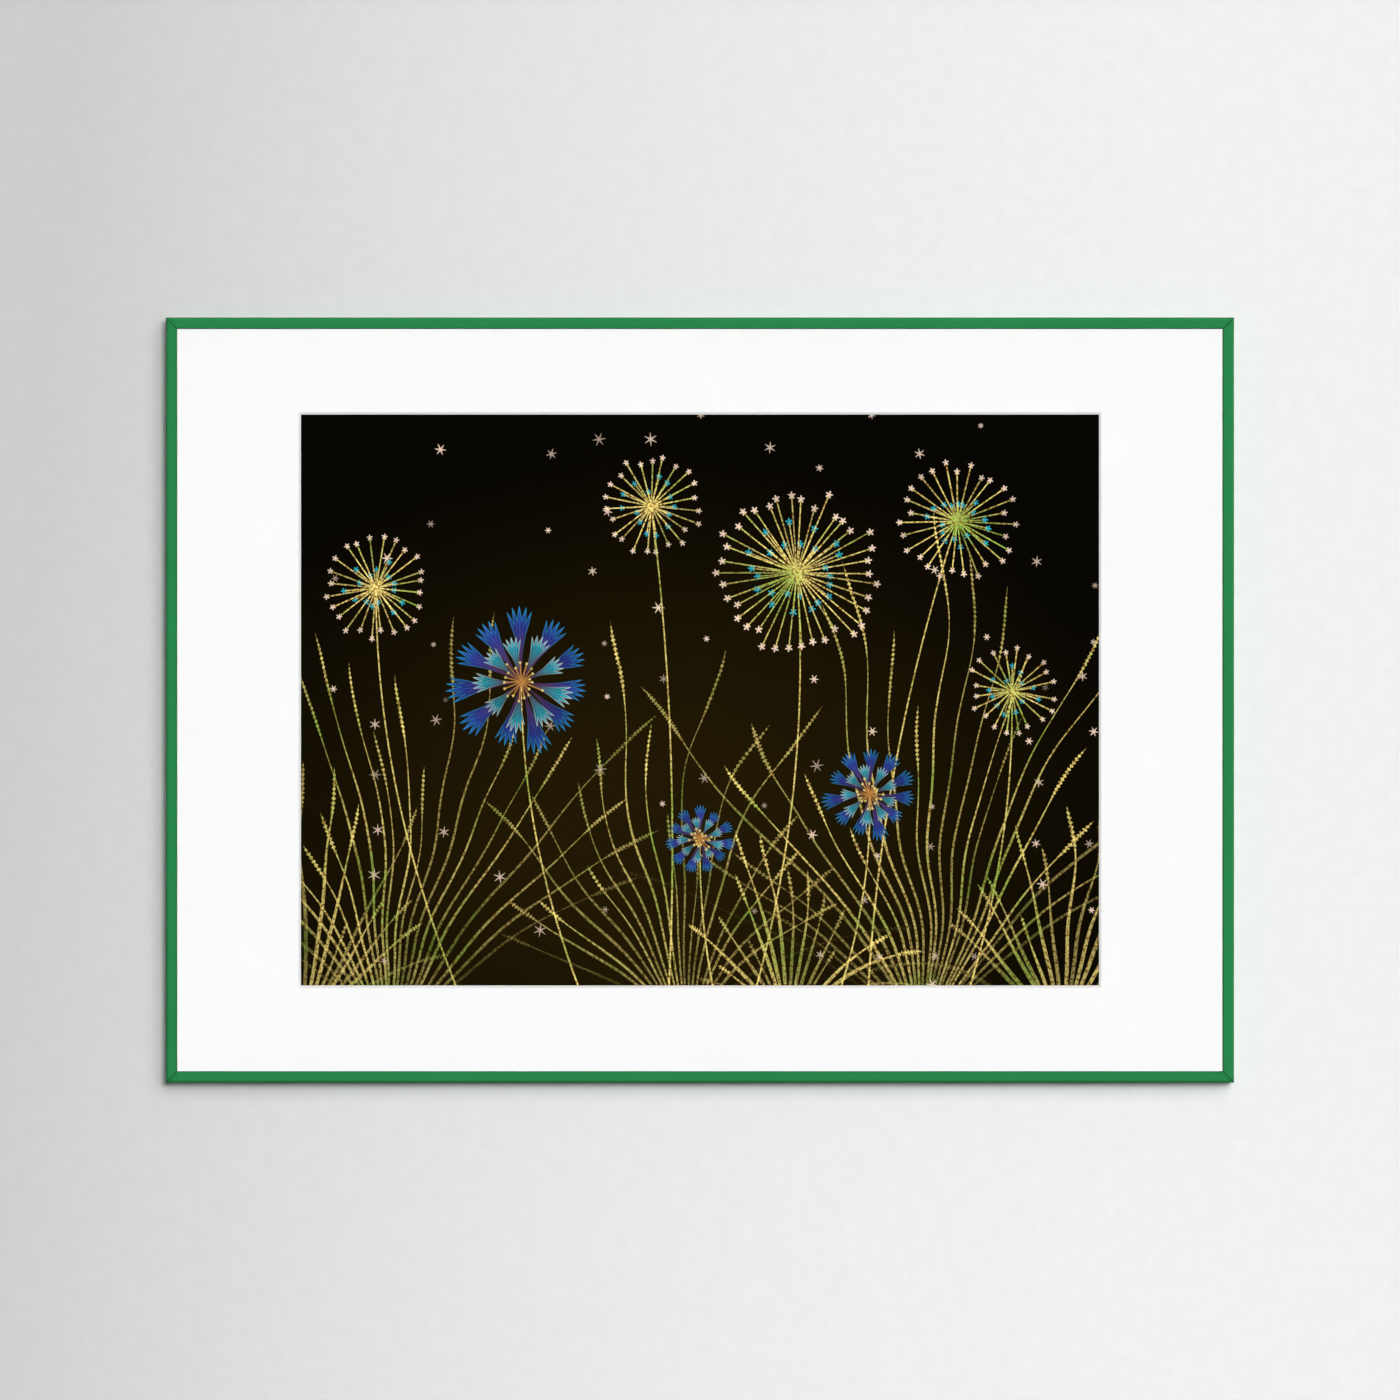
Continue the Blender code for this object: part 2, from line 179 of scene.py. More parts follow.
class Graph:
    """A node tree, with a short call for each kind of node that the finishes use."""

    def __init__(self, tree: NodeTree) -> None:
        """Keeps the tree."""
        self.tree = tree

    def node(self, kind: str, inputs: dict[Any, Any], **settings: Any) -> Node:
        """Adds a node.

        Args:
            kind: The node's type, without its ShaderNode prefix.
            inputs: What each input gets, by name or number: a field, a socket or a constant.
            **settings: The node's own settings.

        Returns:
            The node.
        """
        made = self.tree.nodes.new(f"ShaderNode{kind}")
        for name, value in settings.items():
            setattr(made, name, value)
        for key, value in inputs.items():
            self.feed(made.inputs[key], value)
        return made

    def feed(self, socket: NodeSocket, value: Any) -> None:
        """Links a field or a socket to an input, or sets a constant on it.

        Args:
            socket: The input.
            value: The field, socket or constant.
        """
        source = value.socket if isinstance(value, Field) else value
        if isinstance(source, NodeSocket):
            self.tree.links.new(source, socket)
        else:
            socket.default_value = source

    def get(self, kind: str, inputs: dict[Any, Any], output: int | str = 0, **settings: Any) -> Field:
        """One output of a new node, with the node's inputs and settings as in node."""
        return Field(self, self.node(kind, inputs, **settings).outputs[output])

    def math(self, operation: str, *terms: Field | float) -> Field:
        """A Math node's result for its terms."""
        return self.get("Math", dict(enumerate(terms)), operation=operation)

    def vector(self, operation: str, first: Any, second: Any, output: int = 0) -> Field:
        """A Vector Math node's result for two vectors, of which output 1 is the plain value."""
        return self.get("VectorMath", {0: first, 1: second}, output, operation=operation)

    def length(self, across: Field, up: Field) -> Field:
        """How long a step across and up is."""
        return self.math("SQRT", across * across + up * up)

    def mix(self, share: Field | float, first: Any, second: Any, blend: str = "MIX") -> Field:
        """A blend of two colours, with the share of the second."""
        return self.get("Mix", {0: share, 6: first, 7: second}, 2, data_type="RGBA", blend_type=blend)

    def split(self, vector: Any) -> list[Field]:
        """The three parts of a vector."""
        return [Field(self, output) for output in self.node("SeparateXYZ", {0: vector}).outputs]

    def join(self, *parts: Field | float) -> Field:
        """A vector from up to three parts."""
        return self.get("CombineXYZ", dict(enumerate(parts)))

    def noise(self, vector: Any, scale: Field | float, detail: float = 1.0, rough: float = 0.5) -> Field:
        """Soft noise from 0 to 1, with so many spots to a unit of the vector."""
        return self.get("TexNoise", {"Vector": vector, "Scale": scale, "Detail": detail, "Roughness": rough})

    def cells(self, running: Field, seed: Field | float) -> tuple[Field, list[Field]]:
        """Cuts a running value into cells of one unit.

        Args:
            running: The value.
            seed: What tells this row of cells from others.

        Returns:
            How far the point is from its cell's middle, and three random numbers of the cell.
        """
        number = self.math("FLOOR", running)
        draw = self.node("TexWhiteNoise", {"Vector": self.join(number, seed)}, noise_dimensions="2D")
        return running - number - 0.5, self.split(draw.outputs["Color"])


SOCKETS = {float: "NodeSocketFloat", 3: "NodeSocketVector", 4: "NodeSocketColor"}


class Pattern:
    """A shader node group, built at its first use and placed with its own values wherever it is used.

    A kind of pattern names its inputs with their usual values, and its output with an example.
    """

    title: ClassVar[str]
    takes: ClassVar[dict[str, Any]]
    gives: ClassVar[dict[str, Any]] = {"Colour": BLACK}

    def draw(self, graph: Graph, given: dict[str, Field]) -> Field:
        """Works out the output in the group's own graph, from the inputs by name."""
        raise NotImplementedError

    def tree(self) -> NodeTree:
        """The node group, made if it isn't there yet.

        Returns:
            The group.
        """
        known = bpy.data.node_groups.get(self.title)
        if known is not None:
            return known
        tree = bpy.data.node_groups.new(self.title, "ShaderNodeTree")
        for way, sockets in (("INPUT", self.takes), ("OUTPUT", self.gives)):
            for name, usual in sockets.items():
                kind = SOCKETS[float if isinstance(usual, float) else len(usual)]
                tree.interface.new_socket(name=name, in_out=way, socket_type=kind).default_value = usual
        graph = Graph(tree)
        entry = tree.nodes.new("NodeGroupInput")
        leaving = tree.nodes.new("NodeGroupOutput")
        given = {name: Field(graph, entry.outputs[name]) for name in self.takes}
        graph.feed(leaving.inputs[0], self.draw(graph, given))
        return tree

    def on(self, graph: Graph, **values: Any) -> Field:
        """The output of the group, placed with the inputs that differ from the usual ones."""
        return graph.get("Group", values, node_tree=self.tree())


class Grain(Pattern):
    """Fine grain of one size, as a height or as a change of tone."""

    title = "grain"
    takes = {"Place": ORIGIN, "Size": 0.0005, "Stretch": (1.0, 1.0, 1.0)}
    gives = {"Value": 0.5}

    def draw(self, graph: Graph, given: dict[str, Field]) -> Field:
        """Noise of the given size, with more contrast."""
        drawn = graph.vector("MULTIPLY", given["Place"], given["Stretch"])
        return graph.noise(drawn, graph.math("DIVIDE", 1.0, given["Size"]), 3.0, 0.6).rise(0.3, 0.7)


# ---- the print's drawing, in millimetres


OVER = {"Under": BLACK, "Ink": WHITE, "Place": ORIGIN}


def polar(graph: Graph, place: Field, centre: Field) -> tuple[Field, Field, Field]:
    """How a point lies about a centre.

    Args:
        graph: The group's graph.
        place: The point.
        centre: The centre, of which the third part is left out.

    Returns:
        The distance, the turn from upright as a share of a full turn, and the circle's length there.
    """
    across, up, _ = graph.split(graph.vector("SUBTRACT", place, centre))
    away = graph.length(across, up)
    turn = graph.math("ARCTAN2", across, up) / math.tau + 0.5
    return away, turn, away * math.tau


class Spokes(Pattern):
    """A round seed head: a ring of fine spokes, each with a small star of petals at its tip."""

    title = "spokes"
    takes = {
        **OVER, "Tip": WHITE, "Centre": ORIGIN, "Reach": 40.0, "Count": 30.0, "Star": 2.4, "Spread": 0.3,
        "Seed": 0.0,
    }
    petals = 5.0

    def draw(self, graph: Graph, given: dict[str, Field]) -> Field:
        """Draws the spokes over the colour under them, and the stars over the spokes.

        Args:
            graph: The group's own graph.
            given: The inputs by name.

        Returns:
            The colour.
        """
        away, turn, around = polar(graph, given["Place"], given["Centre"])
        off, (aside, shorter, tone) = graph.cells(turn * given["Count"], given["Seed"])
        tangent = (off - (aside - 0.5) * 0.4) * around / given["Count"]
        reach = given["Reach"] * (1.0 - shorter * given["Spread"])
        inked = abs(tangent).rise(0.52, 0.28) * away.rise(reach, reach - 1.0)
        colour = graph.mix(inked * (tone * 0.5 + 0.5), given["Under"], given["Ink"])
        beyond = away - reach
        wave = graph.math("COSINE", graph.math("ARCTAN2", tangent, beyond) * self.petals)
        edge = given["Star"] * (0.68 + wave * 0.32)
        star = graph.length(tangent, beyond).rise(edge, edge - 0.35)
        return graph.mix(star * (0.7 + tone * 0.3), colour, given["Tip"])


class Florets(Pattern):
    """A ring of florets that widen to a toothed tip, like a cornflower's, with ribs and a pale rim.

    The ink is the colour at their roots.
    """

    title = "florets"
    takes = {
        **OVER, "Tip": WHITE, "Rim": WHITE, "Centre": ORIGIN, "Reach": 40.0, "Count": 10.0, "Turn": 0.0,
        "Seed": 0.0,
    }
    teeth = 5.0

    def draw(self, graph: Graph, given: dict[str, Field]) -> Field:
        """Draws the florets over the colour under them.

        Args:
            graph: The group's own graph.
            given: The inputs by name.

        Returns:
            The colour.
        """
        away, turn, _ = polar(graph, given["Place"], given["Centre"])
        off, (aside, shorter, tone) = graph.cells(turn * given["Count"] + given["Turn"], given["Seed"])
        along = away / (given["Reach"] * (1.0 - shorter * 0.18))
        sideways = (off + (aside - 0.5) * 0.12) / (0.1 + along * along * 0.34)
        across = abs(sideways)
        tooth = graph.math("PINGPONG", sideways * (self.teeth / 2) + 0.5, 0.5) * 2.0
        edge = 0.82 + tooth * 0.18 - across * across * 0.1
        inside = along.rise(edge, edge - 0.02) * across.rise(1.0, 0.94)
        body = graph.mix(along.rise(0.15, 0.9), given["Ink"], given["Tip"])
        light = (0.45 + tooth * 0.55) * (1.0 - across * 0.3) * (0.7 + tone * 0.4)
        shaded = graph.mix(1.0, body, graph.join(light, light, light), "MULTIPLY")
        rim = graph.math("MAXIMUM", along.rise(edge - 0.09, edge - 0.04), across.rise(0.84, 0.92)) * 0.45
        return graph.mix(inside, given["Under"], graph.mix(rim * along, shaded, given["Rim"]))


class Tuft(Pattern):
    """A tuft of long thin blades that arch over from one foot, each with a row of grains at its tip."""

    title = "tuft"
    takes = {
        **OVER, "Foot": ORIGIN, "Reach": 200.0, "Count": 60.0, "Droop": 0.8, "Width": 1.4, "Grain": 1.1,
        "Seed": 0.0,
    }

    def draw(self, graph: Graph, given: dict[str, Field]) -> Field:
        """Draws the blades over the colour under them.

        Args:
            graph: The group's own graph.
            given: The inputs by name. The count is of the blades to a half turn.

        Returns:
            The colour.
        """
        across, up, _ = graph.split(graph.vector("SUBTRACT", given["Place"], given["Foot"]))
        raised = up + across * across * given["Droop"] / given["Reach"]
        along = graph.length(across, raised)
        turn = graph.math("ARCTAN2", across, raised) / math.pi
        off, (aside, shorter, tone) = graph.cells(turn * given["Count"], given["Seed"])
        share = along / (given["Reach"] * (1.0 - shorter * 0.6))
        tangent = abs(off - (aside - 0.5) * 0.5) * along * math.pi / given["Count"]
        ripe = share.rise(0.78, 0.86) * share.rise(1.0, 0.95) * graph.math("PINGPONG", along * 0.32, 0.5)
        half = given["Width"] * 0.5 * share.rise(1.05, 0.3) + ripe * given["Grain"] * 2.0
        line = tangent.rise(half + 0.15, half - 0.15) * share.rise(1.0, 0.99) * abs(turn).rise(0.29, 0.19)
        strength = line * (0.35 + tone * 0.65) * (0.4 + share * 0.6)
        return graph.mix(strength, given["Under"], given["Ink"])


class Stem(Pattern):
    """One thin stem that bows from its foot to its head."""

    title = "stem"
    takes = {**OVER, "Foot": ORIGIN, "Head": ORIGIN, "Bow": 10.0, "Width": 1.2}

    def draw(self, graph: Graph, given: dict[str, Field]) -> Field:
        """Draws the stem over the colour under it.

        Args:
            graph: The group's own graph.
            given: The inputs by name.

        Returns:
            The colour.
        """
        x, z, _ = graph.split(given["Place"])
        foot_x, foot_z, _ = graph.split(given["Foot"])
        head_x, head_z, _ = graph.split(given["Head"])
        share = (z - foot_z) / (head_z - foot_z)
        bowed = foot_x + (head_x - foot_x) * share + given["Bow"] * share * (1.0 - share) * 4.0
        half = given["Width"] * (0.5 - share * 0.2)
        line = abs(x - bowed).rise(half + 0.2, half - 0.2) * share.rise(1.0, 0.99)
        return graph.mix(line * 0.85, given["Under"], given["Ink"])


class Drift(Pattern):
    """Small seeds adrift: little stars of rays, strewn with wide gaps."""

    title = "drift"
    takes = {**OVER, "Pitch": 36.0, "Reach": 4.6, "Share": 0.42}
    rays = 6.0

    def draw(self, graph: Graph, given: dict[str, Field]) -> Field:
        """Draws the seeds over the colour under them.

        Args:
            graph: The group's own graph.
            given: The inputs by name. The share is of the places with a seed.

        Returns:
            The colour.
        """
        inverse = graph.math("DIVIDE", 1.0, given["Pitch"])
        shrunk = graph.get("VectorMath", {0: given["Place"], "Scale": inverse}, operation="SCALE")
        strewn = graph.node(
            "TexVoronoi", {"Vector": shrunk, "Scale": 1.0, "Randomness": 0.8}, voronoi_dimensions="2D"
        )
        away, turn, around = polar(graph, shrunk, Field(graph, strewn.outputs["Position"]))
        pick, size, tone = graph.split(strewn.outputs["Color"])
        reach = given["Reach"] * (0.4 + size * 0.6)
        off, _ = graph.cells(turn * self.rays + tone, size)
        along = away * given["Pitch"] / reach
        half = 0.62 - along * 0.5
        aside = abs(off) * around * given["Pitch"] / self.rays
        inked = aside.rise(half + 0.12, half - 0.12) * along.rise(1.0, 0.95)
        seen = pick.rise(given["Share"], given["Share"] - 0.01)
        return graph.mix(inked * seen * (0.3 + tone * 0.6), given["Under"], given["Ink"])


# ---- finishes


class Surface(Graph):
    """A material in the making: its nodes, its Principled shader and the point on the piece."""

    def __init__(self, name: str, **constants: Any) -> None:
        """Starts the material.

        Args:
            name: Its name.
            **constants: What the shader's inputs get, as in give.
        """
        self.material = bpy.data.materials.new(name)
        self.material.use_nodes = True
        super().__init__(self.material.node_tree)
        self.shader = self.tree.nodes["Principled BSDF"]
        self.give(**constants)

    @cached_property
    def place(self) -> Field:
        """The point on the piece, in metres in the shared frame."""
        return self.get("TexCoord", {}, "Object")

    def give(self, **values: Any) -> None:
        """Feeds the shader's inputs, named with underscores for spaces."""
        for name, value in values.items():
            self.feed(self.shader.inputs[name.replace("_", " ")], value)

    def grain(self, size: float, stretch: Point = (1.0, 1.0, 1.0)) -> Field:
        """Grain of a size in metres, drawn out along the axes where its stretch is below 1."""
        return Grain().on(self, Place=self.place, Size=size, Stretch=stretch)

    def relief(self, height: Field, depth: float, strength: float) -> None:
        """Gives the shader a relief from a height of 0 to 1, by what 1 measures and how much shows."""
        values = {"Height": height, "Distance": depth, "Strength": strength}
        self.give(Normal=self.get("Bump", values))

    def open_where(self, mask: Field) -> None:
        """Lets light straight through the surface where a mask is 1."""
        ends = {0: mask, 1: self.shader.outputs[0], 2: self.get("BsdfTransparent", {})}
        self.feed(self.tree.nodes["Material Output"].inputs["Surface"], self.get("MixShader", ends))


@dataclass(frozen=True)
class Finish:
    """What every finish has: a name, and a material that it makes."""

    name: str

    def material(self) -> Material:
        """The finished material."""
        raise NotImplementedError


@dataclass(frozen=True)
class SatinCoat(Finish):
    """The rails' green coat: satin, fine orange peel, dark mitre joints and a painted shade line at the lip.
    """

    name: str = "green_satin_coat"
    colour: Colour = shade(36, 124, 68)
    cloud_size: float = 0.06
    cloud_share: float = 0.07
    # The painted shade line along the inner lip: its colour, strength, width and how far back it reaches.
    lip_shade_colour: Colour = shade(30, 88, 50)
    lip_shade_share: float = 0.85
    lip_shade_width: float = 0.0009
    lip_shade_fade: float = 0.4
    lip_shade_depth: float = 0.002
    lip_shade_depth_fade: float = 0.75
    mitre_colour: Colour = shade(16, 84, 38)
    mitre_share: float = 0.8
    mitre_width: float = 0.0010
    mitre_fade: float = 0.3
    specular: float = 0.45
    roughness: float = 0.42
    roughness_range: float = 0.06
    peel_size: float = 0.0011
    peel_depth: float = 0.00002
    peel_strength: float = 0.5

    def material(self) -> Material:
        """The coating's material.

        Returns:
            The material.
        """
        on = Surface(self.name, Specular_IOR_Level=self.specular)
        x, y, z = on.split(on.place)
        inside_x = LAYOUT.width / 2 - LAYOUT.face_width - abs(x)
        inside_z = LAYOUT.height / 2 - LAYOUT.face_width - abs(z - LAYOUT.middle)
        nearest = on.math("MINIMUM", inside_x, inside_z)
        # Painted shade: a thin darker band along the inner lip, at the front only, in place of the shade
        # there.
        front = y.rise(LAYOUT.front + self.lip_shade_depth, LAYOUT.front + self.lip_shade_depth * self.lip_shade_depth_fade)
        lip = nearest.rise(-self.lip_shade_width, -self.lip_shade_width * self.lip_shade_fade) * front
        mitre = abs(inside_x - inside_z).rise(self.mitre_width, self.mitre_width * self.mitre_fade)
        cloud = on.grain(self.cloud_size) * self.cloud_share
        even = on.mix(cloud, self.colour, WHITE, "SOFT_LIGHT")
        joined = on.mix(mitre * self.mitre_share, even, self.mitre_colour)
        peel = on.grain(self.peel_size)
        # The painted lip shade goes over the coat and its mitre lines.
        on.give(
            Base_Color=on.mix(lip * self.lip_shade_share, joined, self.lip_shade_colour),
            Roughness=self.roughness + (peel - 0.5) * self.roughness_range,
        )
        on.relief(peel, self.peel_depth, self.peel_strength)
        return on.material


@dataclass(frozen=True)
class ClearGlass(Finish):
    """The glazing. Lamps shine through it, so that what lies behind is lit as it would be in the open."""

    name: str = "clear_glazing"
    tint: Colour = WHITE
    roughness: float = 0.0
    ior: float = 1.45

    def material(self) -> Material:
        """The glazing's material.

        Returns:
            The material.
        """
        on = Surface(self.name, Base_Color=self.tint, Roughness=self.roughness, IOR=self.ior)
        on.give(Transmission_Weight=1.0)
        on.open_where(on.get("LightPath", {}, "Is Shadow Ray"))
        return on.material


@dataclass(frozen=True)
class Layer:
    """Grain of one size, and how much it adds to the tone, the roughness and the relief."""

    size: float
    tone: float = 0.0
    rough: float = 0.0
    relief: float = 0.0
    stretch: Point = (1.0, 1.0, 1.0)


@dataclass(frozen=True)
class Grained(Finish):
    """A finish whose grain blends one colour towards another and varies the roughness and the relief.

    Flecks of a third colour lie where the last layer is strongest.
    """

    colour: Colour
    second: Colour
    roughness: float
    specular: float
    layers: Sequence[Layer]
    depth: float = 0.0
    strength: float = 0.0
    metallic: float = 0.0
    glow: float = 0.0
    fleck: Colour = WHITE
    fleck_from: float = 0.6
    fleck_share: float = 0.0

    def total(self, grains: Sequence[Field], part: str) -> Field | float:
        """What all the layers add to one part of the look, or 0."""
        shares = [getattr(layer, part) for layer in self.layers]
        return sum(grain * share for grain, share in zip(grains, shares) if share)

    def material(self) -> Material:
        """The finish's material.

        Returns:
            The material.
        """
        on = Surface(
            self.name, Roughness=self.roughness, Specular_IOR_Level=self.specular, Metallic=self.metallic,
            Emission_Strength=self.glow,
        )
        grains = [on.grain(layer.size, layer.stretch) for layer in self.layers]
        tone, rough, relief = (self.total(grains, part) for part in ("tone", "rough", "relief"))
        colour = on.mix(tone, self.colour, self.second)
        if self.fleck_share:
            flecks = grains[-1].rise(self.fleck_from, 1.0) * self.fleck_share
            colour = on.mix(flecks, colour, self.fleck)
        on.give(Base_Color=colour)
        if self.glow:
            on.give(Emission_Color=colour)
        if rough:
            on.give(Roughness=self.roughness + rough)
        if relief:
            on.relief(relief, self.depth, self.strength)
        return on.material


CLOUDY = Layer(0.007, tone=0.7, rough=0.1)
EVEN = Layer(0.0003, tone=0.3, rough=0.08, relief=1.0)
BRUSHED = replace(EVEN, stretch=(0.08, 1.0, 1.0))


@dataclass(frozen=True)
class Steel(Grained):
    """Bare or plated steel: brushed along one axis, with a cloudy tone and a roughness that follows it."""

    specular: float = 0.5
    layers: Sequence[Layer] = (CLOUDY, BRUSHED)
    depth: float = 0.000008
    strength: float = 0.5
    metallic: float = 1.0


ZINC = Steel("zinc_plate", shade(196, 198, 200), shade(150, 152, 154), roughness=0.34)
SPRING_STEEL = Steel("spring_steel", shade(142, 146, 152), shade(98, 102, 112), roughness=0.3)
DARK_STEEL = Steel(
    "dark_steel", shade(112, 114, 118), shade(74, 76, 80), roughness=0.38, layers=(CLOUDY, EVEN)
)
# The mat board's white paper, with a faint tooth.
MAT_PAPER = Grained(
    "white_mat_board", shade(244, 244, 244), shade(238, 238, 237), roughness=0.9, specular=0.2,
    layers=(Layer(0.03, tone=0.25), Layer(0.0003, relief=1.0)), depth=0.000006, strength=0.15,
)
# The backing board: brown pressed fibre with pale and dark flecks.
HARDBOARD = Grained(
    "brown_hardboard", shade(142, 108, 74), shade(106, 76, 48), roughness=0.75, specular=0.3,
    layers=(
        Layer(0.06, tone=0.14),
        Layer(0.0014, tone=0.34, relief=1.0, stretch=(0.3, 1.0, 1.0)),
        Layer(0.0007, relief=1.0, stretch=(0.45, 1.0, 1.0)),
    ),
    depth=0.00005, strength=0.6, fleck=shade(176, 146, 108), fleck_share=0.3,
)
# The bumpers' rubber: matte black with a dusty bloom.
BLACK_RUBBER = Grained(
    "black_rubber", shade(32, 32, 34), shade(62, 62, 63), roughness=0.7, specular=0.35,
    layers=(Layer(0.0022, tone=0.6, rough=0.2), Layer(0.0003, relief=1.0)), depth=0.00002, strength=0.6,
)
# The floor's pale paint, with a glow in place of light from all around.
FLOOR_PAINT = Grained(
    "floor_paint", (0.72, 0.72, 0.71, 1), BLACK, roughness=0.9, specular=0.1,
    layers=(Layer(0.4, tone=0.02),), glow=0.66,
)


@dataclass
class Drawing:
    """A picture in the making: where a point lies in it, its line colour, and the colour so far."""

    graph: Graph
    place: Field
    ink: Field
    colour: Field

    def add(self, pattern: Pattern, **values: Any) -> None:
        """Draws a pattern over the colour so far, at the picture's place and in its ink unless told."""
        shared = {"Under": self.colour, "Ink": self.ink, "Place": self.place}
        self.colour = pattern.on(self.graph, **(shared | values))


@dataclass(frozen=True)
class Head:
    """A seed head's or a flower's place and reach, and its stem's foot and bow, in millimetres."""

    x: float
    z: float
    reach: float
    foot: float
    bow: float


@dataclass(frozen=True)
class BotanicalPrint(Finish):
    """The print: seed heads, flowers and arching grass in gold-green, blue and cream on near-black.

    It is drawn in millimetres from its middle. A tuft is its foot's place along the bottom, its reach, how
    many blades it has, how much they droop and how wide they are.
    """

    name: str = "botanical_print"
    middle_ground: Colour = shade(30, 22, 2)
    corner_ground: Colour = shade(4, 3, 0)
    glow_scale: Point = (1 / 330, 1 / 240, 1)
    glow_shift: Point = (0.1, 0.35, 0)
    gold: Colour = shade(255, 234, 136)
    bronze: Colour = shade(186, 130, 62)
    bronze_dulled: float = 0.45
    leaf: Colour = shade(166, 204, 88)
    turquoise: Colour = shade(40, 170, 190)
    blue: Colour = shade(44, 72, 168)
    violet: Colour = shade(96, 56, 84)
    cream: Colour = shade(240, 212, 190)
    glow_fade: Sequence[float] = (0.1, 1.15)
    hues_per_mm: float = 0.022
    hue_fade: Sequence[float] = (0.3, 0.55)
    glints_per_mm: float = 0.55
    glint_fade: Sequence[float] = (0.32, 0.6)
    sways_per_mm: float = 0.006
    sway: float = 64.0
    stem_foot: float = -215.0
    grass_foot: float = -222.0
    heads: Sequence[Head] = (
        Head(64.0, 84.0, 56.0, 30.0, 14.0),
        Head(-32.0, 128.0, 34.0, -22.0, 8.0),
        Head(170.0, 118.0, 40.0, 110.0, -12.0),
        Head(206.0, 6.0, 30.0, 170.0, 10.0),
        Head(-214.0, 74.0, 36.0, -150.0, -16.0),
    )
    flowers: Sequence[Head] = (
        Head(-118.0, 12.0, 52.0, -70.0, -12.0),
        Head(112.0, -62.0, 33.0, 84.0, 8.0),
        Head(0.0, -92.0, 24.0, 14.0, -4.0),
    )
    far_tufts: Sequence[Sequence[float]] = (
        (-205.0, 330.0, 40.0, 0.55, 1.6), (150.0, 350.0, 44.0, 0.5, 1.6), (-20.0, 300.0, 36.0, 0.8, 1.5),
    )
    near_tufts: Sequence[Sequence[float]] = (
        (-262.0, 200.0, 30.0, 0.9, 2.2), (60.0, 150.0, 32.0, 1.2, 2.1), (244.0, 190.0, 30.0, 0.9, 2.2),
    )

    def nearest(self, on: Drawing, heads: Sequence[Head]) -> Field:
        """Finds the head that a point belongs to, so that one drawing serves them all.

        Args:
            on: The drawing.
            heads: The heads, none of which reaches into another.

        Returns:
            The head's x, z and reach, packed as a vector.
        """
        chosen: Any = ORIGIN
        least: Any = FAR
        for head in heads:
            share = on.graph.vector("DISTANCE", on.place, (head.x, head.z, 0.0), 1) / head.reach
            nearer = on.graph.math("LESS_THAN", share, least)
            ends = {0: nearer, 4: chosen, 5: (head.x, head.z, head.reach)}
            chosen = on.graph.get("Mix", ends, 1, data_type="VECTOR")
            least = on.graph.math("MINIMUM", share, least)
        return chosen

    def stems(self, on: Drawing) -> None:
        """Draws the stem of every seed head and flower."""
        for head in (*self.heads, *self.flowers):
            on.add(Stem(), Foot=(head.foot, self.stem_foot, 0.0), Head=(head.x, head.z, 0.0), Bow=head.bow)

    def seed_heads(self, on: Drawing) -> None:
        """Draws the round seed heads, each with an outer ring of spokes and a shorter inner one.

        Args:
            on: The drawing.
        """
        at = self.nearest(on, self.heads)
        x, _, reach = on.graph.split(at)
        rings = ((0.62, 0.42, 0.6, self.turquoise), (1.0, 0.68, 0.22, self.cream))
        for share, density, spread, tip in rings:
            on.add(
                Spokes(), Tip=tip, Centre=at, Reach=reach * share, Spread=spread, Seed=x + share,
                Count=on.graph.math("ROUND", reach * density), Star=reach * 0.026 + 1.3,
            )

    def flower_heads(self, on: Drawing) -> None:
        """Draws the flowers, from their outer florets to the threads in their hearts.

        Args:
            on: The drawing.
        """
        at = self.nearest(on, self.flowers)
        x, _, reach = on.graph.split(at)
        rings = ((1.0, 11.0, self.blue, self.turquoise, 0.0), (0.7, 9.0, self.turquoise, self.cream, 0.3))
        for share, count, tip, rim, turn in rings:
            on.add(
                Florets(), Ink=self.violet, Tip=tip, Rim=rim, Centre=at, Reach=reach * share, Count=count,
                Turn=turn, Seed=x + share,
            )
        on.add(
            Spokes(), Ink=self.bronze, Tip=self.gold, Centre=at, Reach=reach * 0.34, Count=19.0, Star=1.2,
            Spread=0.7, Seed=x,
        )

    def grass(self, on: Drawing, place: Field, tufts: Sequence[Sequence[float]]) -> None:
        """Draws tufts of grass.

        Args:
            on: The drawing.
            place: The point as the blades sway.
            tufts: The tufts.
        """
        for foot, reach, count, droop, width in tufts:
            on.add(
                Tuft(), Place=place, Foot=(foot, self.grass_foot, 0.0), Reach=reach, Count=count,
                Droop=droop, Width=width, Seed=foot,
            )

    def material(self) -> Material:
        """The print's material.

        Returns:
            The material.
        """
        on = Surface(self.name, Roughness=0.6, Specular_IOR_Level=0.05)
        x, _, z = on.split(on.place)
        place = on.join(x * MM_PER_METRE, (z - LAYOUT.middle) * MM_PER_METRE)
        across, up, _ = on.split(on.get("Mapping", {0: place, 1: self.glow_shift, 3: self.glow_scale}))
        away = on.length(across, up).rise(*self.glow_fade)
        ground = on.mix(away, self.middle_ground, self.corner_ground)
        line = on.mix(on.noise(place, self.hues_per_mm).rise(*self.hue_fade), self.leaf, self.gold)
        dull = on.mix(self.bronze_dulled, self.bronze, BLACK)
        ink = on.mix(on.noise(place, self.glints_per_mm).rise(*self.glint_fade), dull, line)
        sway = (on.noise(place, self.sways_per_mm) - 0.5) * self.sway
        swayed = on.vector("ADD", place, on.join(sway))
        drawing = Drawing(on, place, ink, ground)
        self.grass(drawing, swayed, self.far_tufts)
        drawing.add(Drift(), Ink=self.cream)
        self.stems(drawing)
        self.seed_heads(drawing)
        self.flower_heads(drawing)
        self.grass(drawing, swayed, self.near_tufts)
        on.give(Base_Color=drawing.colour)
        return on.material


